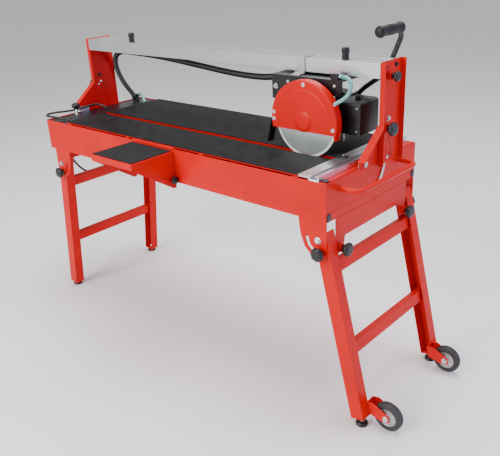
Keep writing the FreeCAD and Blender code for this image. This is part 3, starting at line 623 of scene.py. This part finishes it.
def knob(node, way, hub, head, lobes=7, depth=0.07):
    """A moulded clamp knob with finger flutes, a waisted neck and a threaded steel shank."""
    low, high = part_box(node)
    middle = (low + high) / 2
    sizes = sorted(high - low)
    round_first = abs(sizes[0] - sizes[1]) < 0.0005
    radius = sizes[0 if round_first else 1] / 2 / MM
    total = abs((high - low).dot(way)) / MM
    start = middle + way * (total / 2 - hub - head) * MM
    shank = total - hub - head
    neck = min(9, radius * 0.5)
    face = hub + head
    grip = [(neck * 0.8, 0), (neck, 0.6), (neck, hub * 0.6), (neck * 0.92, hub),
            (radius * 0.72, hub + head * 0.10),
            (radius * 0.96, hub + head * 0.32), (radius, hub + head * 0.52),
            (radius * 0.93, hub + head * 0.78),
            (radius * 0.72, face - head * 0.07), (radius * 0.40, face - 0.1), (radius * 0.38, face - 0.9),
            (radius * 0.22, face - 0.9), (0, face - 0.5)]

    def moulded(bm):
        lathe(bm, [(0, 0)] + rounded(grip, 2.2, 3), start, way, 84, lobed(lobes, depth, radius * 0.6))

    def thread(bm):
        crest, root, turns = 5, 4.5, max(2, int(shank))
        ridges = [(crest if k % 2 else root, -shank + shank * k / turns) for k in range(turns)]
        lathe(bm, [(0, -shank)] + ridges + [(root, 0), (0, 0)], start, way, 24, slot=1)
    piece(node + "_grip", node, "black_plastic", [PLASTIC, ZINC], moulded, thread, stands_for=[node])


def stop_knob(node):
    """A knurled cap on a plain collar, standing on the rail."""
    low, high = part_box(node)
    at = Vector(((low.x + high.x) / 2, (low.y + high.y) / 2, low.z))

    def collar(bm):
        lathe(bm, rounded([(0, 0), (11, 0), (11, 13), (9.5, 14), (9.5, 16.5), (0, 16.5)], 0.8), at, Z, 48)
        cap = [(0, 16.5), (9.5, 16.5), (12, 17.6), (12, 31), (10.5, 34), (6, 34), (5.4, 33.2), (0, 33.2)]
        lathe(bm, rounded(cap, 1, 3), at, Z, 96, lobed(16, 0.05, 10.6))
    piece(node + "_cap", node, "black_plastic", [PLASTIC], collar, stands_for=[node])


def knobs():
    """The clamp knobs, with the lengths of their neck and head, and the two stops on the rail."""
    for node in ("leg_knob_right", "leg_knob_left"):
        knob(node + "_front", -Y, hub=6, head=20)
        knob(node + "_rear", Y, hub=6, head=20)
    for node, way in (("side_knob_front", X), ("side_knob_rear", X), ("tilt_knob_right", X),
                      ("tilt_knob_left", -X)):
        knob(node, way, hub=6, head=20)
    knob("rail_knob", X, hub=6, head=16)
    knob("tray_knob", X, hub=3, head=14, lobes=6)
    knob("end_knob", Z, hub=4, head=22, lobes=5, depth=0.09)
    stop_knob("stop_knob_left")
    stop_knob("stop_knob_right")


# ---------------------------------------------------------------- bridge, conduits and cables

def post_fasteners():
    """Socket bolts that hold the rail, with one bright bolt above the tilt knob."""
    def build(bm):
        outside, inside, gusset = 707, 704, 701
        for side in (-1, 1):
            for y, z in ((32, 264), (92, 264), (29, 244)):
                bolt(bm, Vector((side * outside, y, z)) * MM, X * side, 11, 3.8, 0, socket=True)
            bolt(bm, Vector((side * outside, 58, 112)) * MM, X * side, 11, 3.8, 1)
            bolt(bm, Vector((side * inside, 42, 127)) * MM, -X * side, 11, 3.5, 0, socket=True)
            bolt(bm, Vector((side * gusset, 44, 98)) * MM, -X * side, 7, 2, 1)
    piece("post_fasteners", "bridge", "bolt_chrome", [BLACK_PAINT, ZINC], build, stands_for=["post_bolts"])


def guide_straps():
    """The bare steel arcs under the gussets that the tilt screws clamp."""
    pivot, inner, outer, first, last, steps = -60, 105.8, 118.2, -9, -50.1, 14

    def build(bm):
        for side in (-1, 1):
            turns = [math.radians(first + (last - first) * k / steps) for k in range(steps + 1)]
            rim = [(outer, a) for a in turns] + [(inner, a) for a in reversed(turns)]
            outline = [(side * 700.8, pivot + r * math.cos(a), r * math.sin(a)) for r, a in rim]
            slab(bm, outline, (side * 3.4, 0, 0))
    piece("guide_straps", "bridge", "grey_steel", [STEEL], build)


def lanyard():
    """A thin cord that keeps the tilt knob's lock pin with the post."""
    route = [(718, 40, 74), (722, 42, 50), (717, 62, 20), (711, 76, 2), (709, 70, -6), (708.5, 60, -7)]

    def build(bm):
        sweep(bm, resampled(smooth_route("lanyard_line", route), 0.003), lambda along: 1.1, 12)
        bolt(bm, Vector((707, 58, -7)) * MM, X, 8, 2.5, 1)
    piece("knob_lanyard", "bridge", "cable_rubber", [CABLE, ZINC], build)


def corrugated(name, route):
    """A ribbed conduit through a route in millimetres."""
    def reach(along):
        wave = 0.5 - 0.5 * math.cos(2 * math.pi * along / (CONDUIT_PITCH * MM))
        return CONDUIT_RADIUS - CONDUIT_GROOVE * wave ** 0.7
    bm = bmesh.new()
    points_a_rib = 6
    sweep(bm, resampled(smooth_route(name + "_line", route), CONDUIT_PITCH * MM / points_a_rib), reach, 24)
    conduit = finish_mesh(name + "_corrugated", bm, [CABLE], 60)
    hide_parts(name + "_conduit")
    return conduit


RISER = [(-676, 206, -11), (-681, 182, 30), (-686, 156, 68), (-688, 136, 110), (-687, 122, 152),
         (-671, 112, 188), (-639, 106, 214), (-595, 104, 222)]
RUN = [(-592, 104, 222), (-480, 101, 221), (-320, 100, 214), (-130, 98, 198), (50, 92, 184), (190, 80, 184),
       (275, 68, 196), (331, 61, 209)]
PUMP_CABLE = [(-600, -196, -6.5), (-640, -214, -1), (-684, -232, 3), (-712, -236, 3), (-738, -214, 3),
              (-738, -180, 3), (-718, -150, 3), (-699, -118, 4), (-688, -82, 7), (-684, -46, 12),
              (-676, -12, 13), (-652, 8, 5), (-624, 8, -6.5)]
SUPPLY_LEAD = [(-704, -150, -112), (-722, -150, -113), (-739, -149, -121), (-751, -147, -139),
               (-753, -143, -163), (-746, -137, -194), (-732, -126, -230), (-718, -106, -262),
               (-708, -76, -286), (-704, -38, -299), (-704, 4, -302), (-704, 46, -297), (-705, 86, -284),
               (-708, 118, -260), (-712, 140, -228), (-717, 150, -194), (-721, 153, -164)]
WATER_HOSE = [(587, -18, 236), (606, -19, 237), (628, -24, 228), (638, -36, 206), (630, -50, 182),
              (598, -62, 164)]


def conduits():
    """The riser, fixed where it stands, and the run under the rail, which rides on the bridge."""
    riser = corrugated("riser", RISER)
    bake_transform(riser)
    run = corrugated("run", RUN)
    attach(run, "bridge")
    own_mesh(run)


def cable(name, route, node):
    """A free cord on the base, as one NURBS spline."""
    thing = bpy.data.objects.new(name, route_curve(name, route, CABLE_RADIUS))
    bpy.context.collection.objects.link(thing)
    thing.data.materials.append(CABLE)
    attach(thing, "base")
    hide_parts(node)
    return thing


def cables():
    """The pump's cable, and the supply lead with its strain relief, plug and the clip that holds the plug."""
    loop = cable("pump_cable_loop", PUMP_CABLE, "pump_cable")
    lead = cable("supply_lead_cable", SUPPLY_LEAD, "supply_lead")

    def plug(bm):
        at = Vector(SUPPLY_LEAD[-1]) * MM
        body = [(0, -1), (5.2, 0), (6.0, 8), (11, 12), (18, 18), (19, 24), (19, 36), (17.5, 40), (12, 40),
                (11.5, 37), (0, 37)]
        lathe(bm, rounded(body, 1.5, 3), at, Z, 48, lobed(2, 0.14, 10))
        pin = rounded([(0, 36), (2.4, 36), (2.4, 53), (1.2, 55), (0, 55)], 0.6, 2)
        for y in (-9.5, 9.5):
            lathe(bm, pin, at + Y * y * MM, Z, 16, slot=1)

    def holder(bm):
        box(bm, (-704, 143, -148), (-700, 163, -130), 1)
        gland = Vector((-0.700, -0.150, -0.112))
        relief = [(0, 0), (10, 0), (10, 3), (8, 4.5), (6.5, 5), (5.6, 22), (4.6, 24), (0, 24)]
        lathe(bm, rounded(relief, 0.8, 3), gland, -X, 36)
    fittings = piece("supply_plug", "base", "black_plastic", [PLASTIC, ZINC], plug, holder,
                     stands_for=["lead_fittings"])


# ---------------------------------------------------------------- cutting head

def blade_disc():
    """A ground steel disc with a sintered rim, and the nut of its clamping flanges."""
    def disc(bm):
        core = [(11, -0.9), (107.5, -0.9), (107.5, 0.9), (11, 0.9), (11, -0.9)]
        lathe(bm, core, BLADE_AXIS, Y, 160)
        rim = [(107, -1.2), (114.4, -1.2), (115, -0.6), (115, 0.6), (114.4, 1.2), (107, 1.2), (107, -1.2)]
        lathe(bm, rim, BLADE_AXIS, Y, 160, slot=1)
    piece("cutting_disc", "blade", "blade_steel", [BLADE_STEEL, GRIT], disc, stands_for=["blade"])

    def nut(bm):
        bolt(bm, BLADE_AXIS - Y * 0.0063, -Y, 19, 2.2)
    piece("arbor_nut", "blade", "blade_steel", [ZINC], nut)


def guard():
    """A pressed half-round cover with rolled edges, a hub boss, a stiffening bead and a tail."""
    front, back, edge, cut = -75, -47, 124, 72
    middle = Vector((BLADE_AXIS.x, 0, BLADE_AXIS.z))

    def shell(bm):
        outer = rounded([(0, front), (94, front), (97, front + 1.2), (101, front + 1.2), (104, front),
                         (edge, front), (edge, back)], 4, 6)
        profile = outer + [(edge, back), (27, back), (27, back - 2), (edge - 2, back - 2),
                           (edge - 2, front + 3),
                           (edge - 4, front + 2), (0, front + 2)]
        lathe(bm, profile, middle, Y, 160)
        split = bmesh.ops.bisect_plane(bm, geom=bm.verts[:] + bm.edges[:] + bm.faces[:], dist=1e-6,
                                       plane_co=Vector((0, 0, cut * MM)), plane_no=Z, clear_inner=True)
        rim = [item for item in split["geom_cut"] if isinstance(item, bmesh.types.BMEdge)]
        bmesh.ops.triangle_fill(bm, use_beauty=True, edges=rim)

    def extras(bm):
        boss = [(0, front - 5), (14, front - 5), (26, front - 3.5), (34, front + 0.5), (0, front + 0.5)]
        lathe(bm, rounded(boss, 3, 4), middle, Y, 64)
        box(bm, (603.5, front + 0.5, 56), (609.5, back - 0.5, 84), 1.5)
        nozzle = rounded([(0, 0), (6, 0), (6, 9), (4.6, 10), (4.6, 14), (0, 14)], 0.6, 2)
        nozzle_at = Vector((0.601, -0.062, 0.1635)) - Vector((0.010, 0, 0.0055))
        lathe(bm, nozzle, nozzle_at, Vector((0.87, 0, 0.49)).normalized(), 28, slot=1)
    piece("guard_shell", "head", "red_paint", [RED, ZINC], shell, extras, stands_for=["blade_guard"],
          smooth=30)

    def screws(bm):
        for angle, radius in ((88, 112), (171, 114), (182, 114), (-7, 112)):
            out = X * math.cos(math.radians(angle)) + Z * math.sin(math.radians(angle))
            at = middle + out * radius * MM + Y * front * MM
            bolt(bm, at, -Y, 9, 2.6, socket=True)
    piece("guard_bolts", "head", "bolt_chrome", [ZINC], screws, stands_for=["guard_screws"])


def motor():
    """A finned motor with a mounting flange and a slotted fan cover, its fins left off where the switch box
    sits at its side.
    """
    start = Vector((BLADE_AXIS.x, -0.018, BLADE_AXIS.z))

    def body(bm):
        hull = [(0, 0), (66, 0), (70, 3), (70, 9), (60, 12), (60, 112), (66, 116), (68, 120), (68, 126),
                (64, 130), (64, 158), (58, 165), (46, 166), (0, 166)]
        lathe(bm, rounded(hull, 2, 3), start, Y, 96)

    def fins(bm):
        count, length, root, tip, thick, beside_box = 40, (14, 111), 58, 68.5, 1.5, 0.72
        for k in range(count):
            angle = 2 * math.pi * k / count
            if math.cos(angle) > beside_box:
                continue
            out = X * math.cos(angle) + Z * math.sin(angle)
            side = Y.cross(out)
            corners = []
            for along, reach in ((length[0], root), (length[1], root), (length[1], tip - 2),
                                 (length[1] - 2, tip),
                                 (length[0] + 2, tip), (length[0], tip - 2)):
                corners.append((start + (Y * along + out * reach - side * thick / 2) * MM) / MM)
            slab(bm, corners, side * thick)

    def fan_slots(bm):
        count, height = 12, 1.2
        for k in range(count):
            angle = 2 * math.pi * k / count
            out = X * math.cos(angle) + Z * math.sin(angle)
            side = Y.cross(out)
            at = start + Y * 0.1655
            corners = [(at + (out * r + side * s) * MM) / MM for r,
                       s in ((18, -1.6), (42, -3.6), (42, 3.6), (18, 1.6))]
            slab(bm, corners, Y * height)
        lathe(bm, rounded([(0, 165), (12, 165), (12, 167.2), (9, 168), (0, 168)], 0.6, 2), start, Y, 32)
    piece("motor_casing", "head", "black_paint", [BLACK_PAINT], body, fins, fan_slots, stands_for=["motor"])


def switch_box():
    """A bevelled case with a screwed lid, and the wing nut under it that sets the depth."""
    low, high = millimetres("motor_box")

    def case(bm):
        chamfer = 22
        outline = [(low.x, low.y, low.z), (high.x, low.y, low.z), (high.x, high.y - chamfer, low.z),
                   (high.x - 20, high.y, low.z), (low.x, high.y, low.z)]
        slab(bm, outline, (0, 0, high.z - low.z))
        bmesh.ops.bevel(bm, geom=bm.edges[:], offset=3 * MM, segments=3, profile=0.5, affect="EDGES")

    def lid(bm):
        box(bm, (low.x + 4, low.y - 0.8, low.z + 5), (high.x - 5, low.y + 2, high.z - 5), 1)
        for x in (low.x + 12, high.x - 12):
            for z in (low.z + 13, high.z - 13):
                bolt(bm, Vector((x, low.y - 0.8, z)) * MM, -Y, 5, 1.2, 1, washer=False, socket=True)
        box(bm, (high.x - 22, low.y - 0.8 - 1.4, low.z + 40), (high.x - 12, low.y, low.z + 56), 1)
        lathe(bm, rounded([(0, 0), (9, 0), (9, 6), (7, 7), (7, 12), (0, 12)], 0.8, 2),
              Vector((0.600, 0.060, high.z * MM)), Z, 32)
    piece("switch_case", "head", "black_paint", [BLACK_PAINT, ZINC], case, lid, stands_for=["motor_box"])

    def wing_nut(bm):
        at, middle = Vector((0.585, 0.006, 0.062)), 585
        lathe(bm, rounded([(0, -2), (3.2, -2), (3.2, 24), (0, 24)], 0.5, 2), at, -Z, 20)
        lathe(bm, rounded([(0, 9), (6.5, 9), (5, 17), (0, 17)], 0.8, 2), at, -Z, 24)
        for way in (-1, 1):
            wing = [(3, 52), (9, 52), (15, 42), (13, 39), (8, 44), (3, 46)]
            outline = [(middle + way * out, 4.8, height) for out, height in wing]
            slab(bm, outline, (0, 2.4, 0))
    piece("depth_wing_nut", "head", "bolt_chrome", [ZINC], wing_nut)


def handle():
    """A bent steel arm with a soft grip that has a ball end."""
    arm = [(528, 135, 128), (560, 135, 166), (600, 135, 194), (640, 135, 220), (664, 135, 262),
           (684, 135, 308), (702, 130, 346), (704, 100, 364)]

    def bar(bm):
        sweep(bm, resampled(smooth_route("arm_line", arm), 0.004), lambda along: 8, 28)
        foot_at = Vector((0.546, 0.135, 0.149))
        way = (Vector(arm[1]) - Vector(arm[0])).normalized()
        lathe(bm, rounded([(8, -6), (13, -6), (13, 5), (10.5, 8), (8, 8)], 1.2, 3), foot_at, way, 36)
    piece("handle_bar", "head", "black_paint", [BLACK_PAINT], bar, stands_for=["handle_arm"])

    def soft(bm):
        ribs, first_rib, rib_count, rib_pitch = [], 24, 11, 7.5
        for k in range(rib_count):
            at = first_rib + k * rib_pitch
            waist = 14.2 + 1.2 * math.cos(math.pi * (k - 5) / 8) ** 2
            ribs += [(waist, at), (waist, at + 4.6), (waist - 0.9, at + 5.6), (waist - 0.9, at + 6.6)]
        grip = [(0, 0), (9, 0.8), (14.5, 4), (17, 9.5), (16.6, 14), (14.4, 19), (13.6, 22)] + ribs
        grip += [(14.5, 109), (16.5, 112), (16.8, 118), (15, 122), (9, 124), (0, 124)]
        lathe(bm, rounded(grip, 1.2, 2), Vector((0.704, -0.006, 0.364)), Y, 64)
    piece("grip_sleeve", "head", "mat_rubber", [RUBBER], soft, stands_for=["handle_grip"])


def hoses():
    """The water hose from the carriage to the head, and the end of the one that enters the tub's conduit."""
    bm = bmesh.new()
    line = resampled(smooth_route("hose_line", WATER_HOSE), 0.003)
    sweep(bm, line, lambda along: HOSE_RADIUS, 24)
    hose = finish_mesh("water_feed_hose", bm, [HOSE], 60)
    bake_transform(hose)
    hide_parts("water_hose")

    def fitting(bm):
        lathe(bm, rounded([(0, 0), (7, 0), (7, 7), (5.6, 8), (5.6, 14), (4.9, 15), (0, 15)], 0.6, 2),
              Vector((0.582, -0.018, 0.236)), X, 28)
    piece("hose_fitting", "carriage", "bolt_chrome", [ZINC], fitting)

    def tub_hose(bm):
        route = [(-664, 204, 14), (-642, 198, 23), (-614, 187, 21), (-590, 176, 12), (-574, 168, -5)]
        sweep(bm, resampled(smooth_route("tub_hose_line", route), 0.003), lambda along: HOSE_RADIUS, 20)

    def elbow(bm):
        base = Vector((-0.676, 0.206, -0.011))
        way = (Vector(RISER[1]) - Vector(RISER[0])).normalized()
        lathe(bm, rounded([(11, 0), (15, 0), (15, 5), (13.4, 7), (13.4, 24), (12, 27), (11, 27)], 1, 2),
              base, way, 40)
        stub = (Vector((-0.642, 0.198, 0.023)) - Vector((-0.672, 0.206, 0.010))).normalized()
        lathe(bm, rounded([(0, 8), (8.5, 8), (8.5, 17), (7.2, 19), (7.2, 25), (0, 25)], 0.8, 2),
              Vector((-0.676, 0.206, 0.006)), stub, 32)
    piece("tub_feed_hose", "base", "hose_green", [HOSE], tub_hose)
    piece("conduit_elbow", "base", "black_plastic", [PLASTIC], elbow)


def carriage_details():
    """Bolt heads on the hanger and on the hook bracket's foot."""
    def build(bm):
        for x, z in ((575, 208), (575, 176), (400, 208)):
            bolt(bm, Vector((x, -30, z)) * MM, -Y, 7, 3)
        for x in (416, 430):
            bolt(bm, Vector((x, -9, 231)) * MM, Z, 8, 3, socket=True)
        bolt(bm, Vector((352, -32, 190)) * MM, -Y, 12, 5)
    piece("carriage_bolts", "carriage", "bolt_chrome", [ZINC], build)


# ---------------------------------------------------------------- floor, light and camera

def studio():
    """A plain pale floor just under the feet, an even white world and three wide soft lights."""
    half_width, clearance, world_strength = 30, 0.0005, 0.62
    bm = bmesh.new()
    bmesh.ops.create_grid(bm, x_segments=1, y_segments=1, size=half_width)
    floor = finish_mesh("floor", bm, [])
    floor.location.z = FLOOR - clearance
    material = textured("pale_floor", dark=(0.86, 0.86, 0.86), light=(0.88, 0.88, 0.88),
                        roughness=(0.75, 0.9), grain=60, depth=0.00002)
    floor.data.materials.append(material)

    world = bpy.data.worlds.new("studio")
    world.use_nodes = True
    background = world.node_tree.nodes["Background"]
    background.inputs["Color"].default_value = (1.0, 1.0, 1.0, 1)
    background.inputs["Strength"].default_value = world_strength
    bpy.context.scene.world = world

    aim = Vector((0.2, 0, 0))
    for name, place, size, power, colour in (
            ("key", (-0.4, -3.4, 1.6), 2.2, 165, (1, 0.98, 0.95)),
            ("overhead", (0.3, 0.6, 3.4), 2.6, 165, (1, 1, 1)),
            ("right_rim", (3.4, 1.2, 0.6), 2.0, 60, (0.55, 0.5, 1.0))):
        lamp = bpy.data.lights.new(name, "AREA")
        lamp.size, lamp.energy, lamp.color = size, power, colour
        thing = bpy.data.objects.new(name, lamp)
        thing.location = place
        thing.rotation_euler = (aim - Vector(place)).to_track_quat("-Z", "Y").to_euler()
        bpy.context.collection.objects.link(thing)


def camera():
    """The camera solved from the photograph's edges: where it stands, its three angles and its lens."""
    place = (1.6802, -1.5989, 0.5938)
    azimuth, elevation, roll = (math.radians(angle) for angle in (43.25, 23.42, -3.12))
    outward = math.cos(elevation)
    forward = Vector((-math.sin(azimuth) * outward, math.cos(azimuth) * outward, -math.sin(elevation)))
    level = Vector((math.cos(azimuth), math.sin(azimuth), 0))
    upright = level.cross(forward)
    right = level * math.cos(roll) + upright * math.sin(roll)
    up = upright * math.cos(roll) - level * math.sin(roll)
    data = bpy.data.cameras.new("camera")
    data.sensor_width, data.lens = 36, 46.5
    thing = bpy.data.objects.new("camera", data)
    turn = Matrix((right, up, -forward)).transposed().to_4x4()
    thing.matrix_world = Matrix.Translation(place) @ turn
    bpy.context.collection.objects.link(thing)
    bpy.context.scene.camera = thing


dress_nodes()
rubber_mats()
table_dressing()
feet()
wheels()
leg_bolts()
grab_bars()
knobs()
post_fasteners()
guide_straps()
lanyard()
conduits()
cables()
blade_disc()
guard()
motor()
switch_box()
handle()
hoses()
carriage_details()
studio()
camera()
